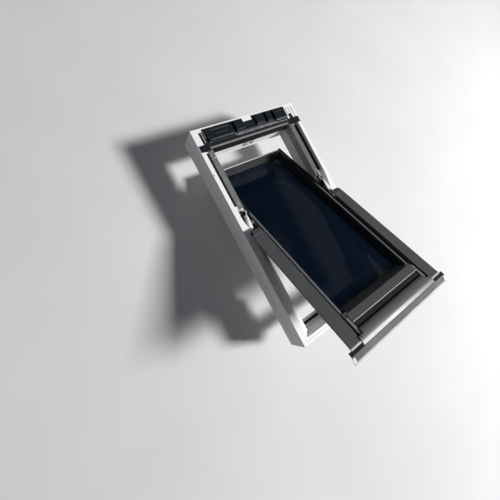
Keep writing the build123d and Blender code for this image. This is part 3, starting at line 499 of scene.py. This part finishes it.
band = [(BAND_START, BAND_LOW), (BAND_END, BAND_LOW)]
for foot in BAND_END - RIB * np.arange(int((BAND_END - BAND_START) / RIB)):
    end = foot - RIB + RIB_GAP
    band += [(foot, BAND_VALLEY), (foot - RIB_SLANT, BAND_TOP),
             (end + RIB_SLANT, BAND_TOP), (end, BAND_VALLEY)]
band += [(BAND_START, BAND_VALLEY)]
leg = [(LEG_INNER, LEG_LOW), (BAND_END, LEG_LOW + LEG_SLANT), (BAND_END, BAND_LOW), (LEG_INNER, BAND_LOW)]
gasket = [(19.2, -18.0), (38.4, -18.0), (38.4, -17.0), (36.0, -16.6), (33.0, -17.2), (28.0, -17.2),
          (25.0, -16.4), (22.5, -16.4), (20.5, -16.8), (19.2, -17.2)]
for side in SIDES:
    solid = slope_bar(other_side(band, side), SEAL_FOOT, SEAL_HEAD)
    add_piece(f"seal_band_{side}", solid, seal_felt, "frame", f"upper_seal_{side}")
    # Painted shade: the leg is pale grey where the frame's white inner face lies in shade
    solid = slope_bar(other_side(leg, side), SEAL_FOOT, LEG_HEAD)
    add_piece(f"seal_leg_{side}", solid, pale_seal, "frame")
    solid = slope_bar(other_side(gasket, side), GASKET_FOOT, GASKET_HEAD)
    add_piece(f"ledge_gasket_{side}", solid, black_rubber, "frame")


# Top seal: a narrow grey lip under the casing between a black leg and a black bed; their black is painted
# shade
# # under the casing and down the top member's inner face
SEAL_SIDE = 60.0

lip = [(892.6, -18.0), (892.6, -15.8), (893.2, -15.0), (899.8, -15.0), (900.4, -15.8), (900.4, -18.0)]
head_leg = [(892.4, -18.0), (892.4, -16.6), (888.0, -16.8), (887.2, -17.6), (887.8, -54.4), (890.0, -55.0),
            (890.0, -18.0)]
bed = [(900.6, -18.0), (900.6, -16.8), (909.8, -16.8), (909.8, -18.0)]
# Painted shade: the leg and the bed are black where shade falls under the casing and down the inner face
head_parts = (("seal_head_lip", lip, seal_felt, "seal_strip", "upper_seal_top"),
              ("seal_head_leg", head_leg, black_rubber, "black_rubber", None),
              ("seal_head_bed", bed, black_rubber, "black_rubber", None))
for name, section, material, slot, replaced in head_parts:
    solid = cross_bar(section, SEAL_SIDE, WINDOW_WIDTH - SEAL_SIDE)
    add_piece(name, solid, material, "frame", replaced)


# Hinge brakes in the frame's pockets: an S-shaped strip spring on edge and a wedge-shaped cover
POCKET_FLOOR = -15.5
STRIP_WIDTH, STRIP_TOP = 2.2, -3.4
CROWN_FALL = 1.4

# Route (u, v) of the left spring, and stations (v, left u, right u, height) of the left cover
strip_route = np.array([(38, 613), (45, 606), (52, 603), (58, 595), (54, 586), (46, 581), (44, 574),
                        (50, 568)], float)
wedge_stations = ((519, 33.4, 45.8, 0.4), (521, 32.8, 47.8, 1.6), (530, 33.4, 50.4, 1.9),
                  (542, 35.6, 52.0, 1.9), (554, 39.0, 52.4, 1.7), (566, 42.6, 52.6, 1.2),
                  (576, 46.0, 52.4, 0.4), (583, 48.4, 51.8, -0.8))
strip = strip_on_edge(smooth_route(strip_route, 8), STRIP_WIDTH, POCKET_FLOOR, STRIP_TOP)
wedge = crowned_wedge(wedge_stations, POCKET_FLOOR, CROWN_FALL)
for side in SIDES:
    for name, (corners, faces), replaced in (("brake_strip", strip, "brake_spring"),
                                             ("brake_wedge", wedge, "brake_cover")):
        add_piece(f"{name}_{side}", (other_side(corners, side), faces), bright_steel, "frame",
                  f"{replaced}_{side}")


# Sash halves of the pivot hinges: a half-round plate with its arm down the rail, and the stud that runs in
# the frame's slot
PIVOT = np.array([WINDOW_LENGTH / 2 + PIVOT_Y, PIVOT_Z])
PLATE_OUTER, PLATE_INNER = 63.3, 66.0
PLATE_R = 33.0
PLATE_TOP, PLATE_LOW = -1.2, -40.0
ARM_FOOT, ARM_TOP, ARM_LOW = 433.0, -14.0, -34.0
ARM_MEETS_PLATE = -158.7
STUD_TIP = 60.3
STUD_R = 3.4
STUD_WAY_R = 26.0
STUD_ANGLE = math.radians(-20.0)

half_plate = [(PIVOT[0] + PLATE_R, PLATE_TOP), *arc_places(PIVOT, PLATE_R, 0.0, -90.0, 16),
              (PIVOT[0], PLATE_LOW), (ARM_FOOT, ARM_LOW), (ARM_FOOT, ARM_TOP),
              *arc_places(PIVOT, PLATE_R, ARM_MEETS_PLATE, -180.0, 6), (PIVOT[0] - PLATE_R, PLATE_TOP)]
stud_place = PIVOT + STUD_WAY_R * np.array([math.cos(STUD_ANGLE), math.sin(STUD_ANGLE)])
stud = arc_places(stud_place, STUD_R, 0.0, 340.0, 18)
for side in SIDES:
    solid = cross_bar(half_plate, *span_on(side, PLATE_OUTER, PLATE_INNER))
    add_piece(f"hinge_half_{side}", solid, black_steel, "sash", f"sash_hinge_{side}")
    solid = cross_bar(stud, *span_on(side, STUD_TIP, PLATE_OUTER))
    add_piece(f"hinge_stud_{side}", solid, zinc_plate, "sash")


# Rounded cover over the sash's lower end, with a notch at each upper corner
SEAT = 4.4
COVER_INNER = 62.0
BOW_NOTCH, NOTCH_FOOT = 85.4, -30.6
BOW_FOOT, BOW_FOLD, BOW_CREST = -58.8, -47.0, -22.0
BOW_TOP = 12.0
FOOT_CURVE, HEAD_CURVE = 0.00533, 0.028
FACET_SLOPE = 0.335
HEAD_EDGE, EDGE_DROP = (-11.8, -10.0), 2.4


def bow_height(v):
    """Height of the rounded cover: its top less a parabola from the crest, steeper towards the head, less a
    straight facet below the fold and the rounding of the head's edge."""
    curve = np.where(v < BOW_CREST, FOOT_CURVE, HEAD_CURVE) * (np.maximum(v, BOW_FOLD) - BOW_CREST) ** 2
    facet = FACET_SLOPE * np.maximum(BOW_FOLD - v, 0.0)
    return BOW_TOP - curve - facet - EDGE_DROP * smooth_step(v, *HEAD_EDGE)


left_u = np.array([COVER_INNER, 74.0, BOW_NOTCH])
bow_u = np.concatenate([left_u, [WINDOW_WIDTH / 2], WINDOW_WIDTH - left_u[::-1]])
bow_v = np.concatenate([np.linspace(BOW_FOOT, BOW_CREST, 24), [-19.0, -16.0, -13.5, -11.8, -10.8, -10.2]])
bow_z = np.broadcast_to(bow_height(bow_v), (len(bow_u), len(bow_v)))
at_side = np.abs((bow_u[:-1] + bow_u[1:]) / 2 - WINDOW_WIDTH / 2) > WINDOW_WIDTH / 2 - BOW_NOTCH
at_head = (bow_v[:-1] + bow_v[1:]) / 2 > NOTCH_FOOT
solid = shell_from_heights(bow_u, bow_v, bow_z, SEAT, ~(at_side[:, None] & at_head[None, :]))
# Its lighter cladding is partly a painted highlight
add_piece("bow_cover", solid, bow_cladding_and_highlight, "sash", "bottom_cover")


# Pieces that run across the window: the strips between the side covers and the bottom member, the ribbed
# # seat and pale end of the apron, the end pale as a painted highlight of the sunlit flange, the lip of each
# cover's
# # end, the rim of each cap, and the light lines of painted highlight along the edges of the apron and the
# bottom plate
APRON_HEAD = -62.0
APRON_SLOPE = 13.0 / 22.0
APRON_SIDE = 4.9
PLATE_LIP_START = 86.7


def apron_places(places):
    """Places (v, height above the apron) in the shut window's heights: SEAT + (v - head) * slope + height."""
    v, lift = np.array(places, float).T
    return np.column_stack([v, SEAT + (v - APRON_HEAD) * APRON_SLOPE + lift])


return_strip = [(-60.0, 2.1), (36.4, 2.1), (36.4, 3.1), (-60.0, 3.1)]
seat_ribs = [(-47.2, 3.25), (-47.2, 5.0), (-49.0, 5.0), (-49.6, 4.5), (-53.0, 4.5), (-53.5, 5.2),
             (-54.9, 5.2), (-55.4, 4.5), (-59.0, 4.5), (-59.5, 5.2), (-60.9, 5.2), (-61.6, 4.4),
             (-61.6, 3.25)]
# The apron's pale ends: their pale is a painted highlight of the sunlit end flange
apron_end = apron_places([(-66.0, 0.0), (-66.6, 0.9), (-83.0, 0.9), (-83.8, 0.0)])
apron_edge = apron_places([(-81.6, -0.4), (-81.6, 0.6), (-83.9, 0.8), (-84.8, 0.2), (-84.8, -1.8),
                           (-84.1, -1.8), (-84.1, -0.4)])
end_lip = [(-44.8, 1.6), (-44.8, 6.9), (-48.0, 6.4), (-48.7, 5.8), (-48.7, 5.3), (-46.9, 5.3), (-46.9, 1.6)]
cap_rim = [(477.8, 5.6), (477.8, 6.7), (479.8, 6.7), (479.8, 5.6)]
plate_lip = [(13.6, 4.6), (13.1, 5.2), (13.1, 7.1), (13.8, 7.9), (16.0, 7.9), (16.0, 7.1), (14.1, 7.1),
             (14.1, 4.6)]
end_parts = (("cover_return", return_strip, (61.0, 76.0), black_rubber, "black_plastic"),
             ("apron_seat", seat_ribs, (-4.6, 61.8), black_rubber, "black_plastic"),
             ("apron_end", apron_end, (-APRON_SIDE, 6.0), apron_end_highlight, "pale_plastic"),
             ("end_lip", end_lip, (10.4, 61.6), pale_moulding, "pale_plastic"),
             ("cap_rim", cap_rim, (13.0, 61.0), pale_seal, "black_plastic"))
for name, section, span, material, slot in end_parts:
    for side in SIDES:
        add_piece(f"{name}_{side}", cross_bar(section, *span_on(side, *span)), material, "sash")
# Painted highlights: light lines along the edge of the apron and the lip of the bottom plate
for name, section, start in (("apron_edge", apron_edge, -APRON_SIDE),
                             ("plate_lip", plate_lip, PLATE_LIP_START)):
    solid = cross_bar(section, start, WINDOW_WIDTH - start)
    add_piece(name, solid, painted_edge_highlight, "sash")


# Strips along the sash: the light bead of each side trim, ending where the trim lies in shade so that the
# dark trim
# # there is painted shade, the hem of each side cover, light grey as a painted highlight of its inner edge,
# the inner
# # lip of each side cover, and the ribs on its cap
rail_bead = [(76.4, -5.0), (76.4, -4.3), (77.2, -3.6), (83.6, -3.6), (84.4, -4.3), (84.4, -5.0)]
cover_hem = [(60.2, 6.8), (60.2, 7.2), (60.7, 7.5), (61.9, 7.4), (62.3, 6.9), (62.3, 5.6), (61.9, 5.6),
             (61.9, 6.8)]
cover_lip = [(62.4, -2.2), (62.4, -1.5), (75.6, -1.5), (76.1, -2.0), (76.1, -4.0), (75.2, -4.0), (75.2, -2.2)]
# Painted shade: the light beads end at v 592, where the trim lies in shade, and the dark trim shows beyond
BEAD_SPAN_IN_LIGHT, HEM_SPAN, LIP_SPAN, CAP_RIB_SPAN = (56.0, 592.0), (-42.0, 475.8), (37.0, 474.0), (481.6, 503.4)
CAP_RIB_STARTS = (24.0, 32.5, 41.0, 49.5, 58.0)
cap_rib = np.array([(0.0, 5.6), (0.0, 6.5), (0.5, 6.9), (2.3, 6.9), (2.8, 6.5), (2.8, 5.6)])
side_parts = (("rail_bead", rail_bead, BEAD_SPAN_IN_LIGHT, bead_metal, "trim_aluminium"),
              ("cover_hem", cover_hem, HEM_SPAN, hem_painted_highlight, "grey_cladding"),
              ("cover_lip", cover_lip, LIP_SPAN, black_rubber, "black_rubber"))
for side in SIDES:
    for name, section, span, material, slot in side_parts:
        add_piece(f"{name}_{side}", slope_bar(other_side(section, side), *span), material, "sash")
    for number, start in enumerate(CAP_RIB_STARTS, 1):
        solid = slope_bar(other_side(cap_rib + (start, 0.0), side), *CAP_RIB_SPAN)
        add_piece(f"cap_rib_{side}_{number}", solid, rib_grey, "sash")


# Small plugs: one at each end of the rounded cover and one on the left ledge
PLUG_PLACE, PLUG_R, PLUG_HEIGHT = (71.0, -35.0, 11.0), 3.4, 0.6
PIN_PLACE, PIN_R, PIN_HEIGHT = (4.6, 779.0, 0.0), 2.4, 1.2

for side in SIDES:
    solid = button(other_side([PLUG_PLACE], side), PLUG_R, PLUG_HEIGHT)
    add_piece(f"cover_plug_{side}", solid, black_rubber, "sash")
add_piece("ledge_pin", button(PIN_PLACE, PIN_R, PIN_HEIGHT), black_rubber, "frame")


# Bead tails: the side beads run on over the bottom member beside the plate
TAIL_SPAN = (74.4, 84.0)

tail = [(56.0, -8.0), (36.2, -8.0), (35.9, 3.3), (-28.4, 3.3), (-28.4, 5.6), (-27.4, 6.6), (4.0, 6.4),
        (36.0, 5.4), (43.0, 1.5), (56.0, -4.9)]
for side in SIDES:
    solid = cross_bar(tail, *span_on(side, *TAIL_SPAN))
    add_piece(f"bead_tail_{side}", solid, bead_metal, "sash")


# Casing on the top member: a ridged tray whose lumps are the greatest of several soft pads
TRAY = 2.2
CASING_U = (50.0, 486.1, 1.5)
CASING_V = (897.0, 972.6, 1.25)
FRONT_SLOPE, FRONT_SHARE = (901.0, 920.0), 0.25
FIN_STEP, FIN_DEPTH = 8.0, 5.0
NOTCH_U, NOTCH_V = (248.0, 301.0), 955.0
# Fringe along the front edge: its end, its waves (length, share) and the wave height above which it is cut
FRINGE_V, FRINGE_WAVES, FRINGE_CUT = 901.0, ((29.0, 1.0), (11.0, 0.6)), 0.3
# Height of each lump, its area (u_low, u_high, v_low, v_high) and the softness of its sides
LUMPS = ((11.0, (52.0, 187.0, 908.0, 971.0), 6.0), (11.5, (189.0, 249.0, 916.0, 972.0), 9.0),
         (10.5, (301.0, 361.0, 918.0, 971.0), 10.0), (11.0, (362.0, 403.0, 916.0, 972.0), 8.0),
         (11.5, (407.0, 484.0, 906.0, 970.0), 6.0), (6.5, (186.0, 484.0, 901.0, 928.0), 9.0))
# The same for the sunk and raised fields on their tops
FIELDS = ((-1.8, (78.0, 172.0, 926.0, 958.0), 7.0), (1.0, (92.0, 158.0, 934.0, 950.0), 4.0),
          (-1.2, (424.0, 470.0, 926.0, 956.0), 7.0))
FIN_AREA, FIN_SOFT = (51.0, 66.0, 912.0, 968.0), 1.6


def casing_height(u, v):
    """Height of the casing: the tray with the greatest of its lumps, lower along the front slope, with its
    fields added and a cosine of fins cut into the left end."""
    lumps = np.max([height * raised_pad(u, v, area, soft) for height, area, soft in LUMPS], axis=0)
    fields = sum(height * raised_pad(u, v, area, soft) for height, area, soft in FIELDS)
    wave = 0.5 - 0.5 * np.cos(2.0 * np.pi * (v - FIN_AREA[2]) / FIN_STEP)
    fins = FIN_DEPTH * raised_pad(u, v, FIN_AREA, FIN_SOFT) * wave
    front = FRONT_SHARE + (1.0 - FRONT_SHARE) * smooth_step(v, *FRONT_SLOPE)
    return TRAY + lumps * front + fields - fins


casing_u, casing_v = np.arange(*CASING_U), np.arange(*CASING_V)
casing_z = casing_height(*np.meshgrid(casing_u, casing_v, indexing="ij"))
cell_u = (casing_u[:-1] + casing_u[1:])[:, None] / 2.0
cell_v = (casing_v[:-1] + casing_v[1:])[None, :] / 2.0
notch = (cell_u > NOTCH_U[0]) & (cell_u < NOTCH_U[1]) & (cell_v > NOTCH_V)
waves = sum(share * np.sin(2.0 * np.pi * cell_u / length) for length, share in FRINGE_WAVES)
fringe = (cell_v < FRINGE_V) & (waves > FRINGE_CUT)
solid = shell_from_heights(casing_u, casing_v, casing_z, 0.0, ~(notch | fringe))
add_piece("casing_shell", solid, black_moulding, "frame", "top_casing")


# Ribbed ends beside the casing, on the side members' ledges
end_foot = [(31.0, 0.0), (31.0, 2.4), (33.2, 3.0), (34.4, 1.0), (36.4, 1.0), (37.0, 3.4), (42.0, 4.0),
            (43.0, 1.2), (45.8, 1.2), (46.4, 4.6), (50.0, 5.6), (50.0, 0.0)]
end_strip = [(37.5, 3.5), (37.5, 4.1), (41.4, 4.6), (41.4, 3.9)]
inner_strip = [(46.9, 4.7), (46.9, 5.2), (49.6, 5.9), (49.6, 5.3)]
ledge_rib = np.array([(0.0, 0.0), (0.0, 0.8), (0.4, 1.1), (1.5, 1.1), (1.9, 0.8), (1.9, 0.0)])
LEDGE_RIB_STARTS, LEDGE_RIB_SPAN = (497.4, 513.6, 531.0), (905.0, 963.0)

for name, section, span, material in (("casing_ribs", end_foot, (911.0, 960.0), black_moulding),
                                      ("casing_strip", end_strip, (912.5, 958.0), pale_seal),
                                      ("casing_strip_inner", inner_strip, (930.0, 958.5), rib_grey)):
    add_piece(f"{name}_left", slope_bar(section, *span), material, "frame")
for number, start in enumerate(LEDGE_RIB_STARTS, 1):
    solid = slope_bar(ledge_rib + (start, 0.0), *LEDGE_RIB_SPAN)
    add_piece(f"ledge_rib_right_{number}", solid, black_rubber, "frame")


# Floor, light and camera: places and sizes in metres, the camera's sensor in millimetres and its focal
# length in pixels of the image
FLOOR_HEIGHT = -0.166
FLOOR_REACH = 30.0
KEY_PLACE, KEY_SIZE, KEY_POWER = (5.0, -3.4, 5.98), 1.5, 930.0
FILL_PLACE, FILL_SIZE, FILL_POWER = (-2.0, 1.4, 2.6), 2.4, 2.0
ROOM_COLOUR, ROOM_STRENGTH = (0.86, 0.90, 1.0, 1.0), 0.11
CAMERA_PLACE = (-0.75253, -0.03751, 1.09889)
CAMERA_RIGHT = (0.799859, -0.472327, 0.370314)
CAMERA_UP = (0.430285, 0.881417, 0.194833)
CAMERA_BACK = (-0.418426, 0.003501, 0.908244)
FOCAL_PIXELS, IMAGE_PIXELS = 280.262, 500.0
SENSOR_WIDTH = 36.0


def stage_plane(name, height, reach, material):
    """Flat square floor: its corners lie reach to each side of the part's origin."""
    corners = [(x * reach, y * reach, height) for x, y in ((-1, -1), (1, -1), (1, 1), (-1, 1))]
    mesh = bpy.data.meshes.new(name)
    mesh.from_pydata(corners, [], [(0, 1, 2, 3)])
    mesh.materials.append(material)
    plane = bpy.data.objects.new(name, mesh)
    bpy.context.scene.collection.objects.link(plane)


def soft_lamp(name, place, size, power):
    """Square soft lamp at a place, turned towards the part's origin."""
    light = bpy.data.lights.new(name, "AREA")
    light.shape = "SQUARE"
    light.size = size
    light.energy = power
    lamp = bpy.data.objects.new(name, light)
    lamp.location = place
    lamp.rotation_euler = (-Vector(place)).to_track_quat("-Z", "Y").to_euler()
    bpy.context.scene.collection.objects.link(lamp)


floor_paint = finish("floor_paint", (0.70, 0.70, 0.69), (0.74, 0.74, 0.73), rough=0.9, blotch=2.0,
                     relief=0.02, gloss=0.05)
stage_plane("floor", FLOOR_HEIGHT, FLOOR_REACH, floor_paint)
soft_lamp("key", KEY_PLACE, KEY_SIZE, KEY_POWER)
soft_lamp("fill", FILL_PLACE, FILL_SIZE, FILL_POWER)

world = bpy.data.worlds.new("pale_room")
world.use_nodes = True
backdrop = world.node_tree.nodes["Background"]
backdrop.inputs["Color"].default_value = ROOM_COLOUR
backdrop.inputs["Strength"].default_value = ROOM_STRENGTH
bpy.context.scene.world = world

camera_data = bpy.data.cameras.new("camera")
camera_data.sensor_fit = "HORIZONTAL"
camera_data.sensor_width = SENSOR_WIDTH
camera_data.lens = FOCAL_PIXELS / IMAGE_PIXELS * SENSOR_WIDTH
camera = bpy.data.objects.new("camera", camera_data)
turn = Matrix((CAMERA_RIGHT, CAMERA_UP, CAMERA_BACK)).transposed()
camera.matrix_world = Matrix.Translation(CAMERA_PLACE) @ turn.to_4x4()
bpy.context.scene.collection.objects.link(camera)
bpy.context.scene.camera = camera
bpy.context.scene.view_settings.view_transform = "Standard"
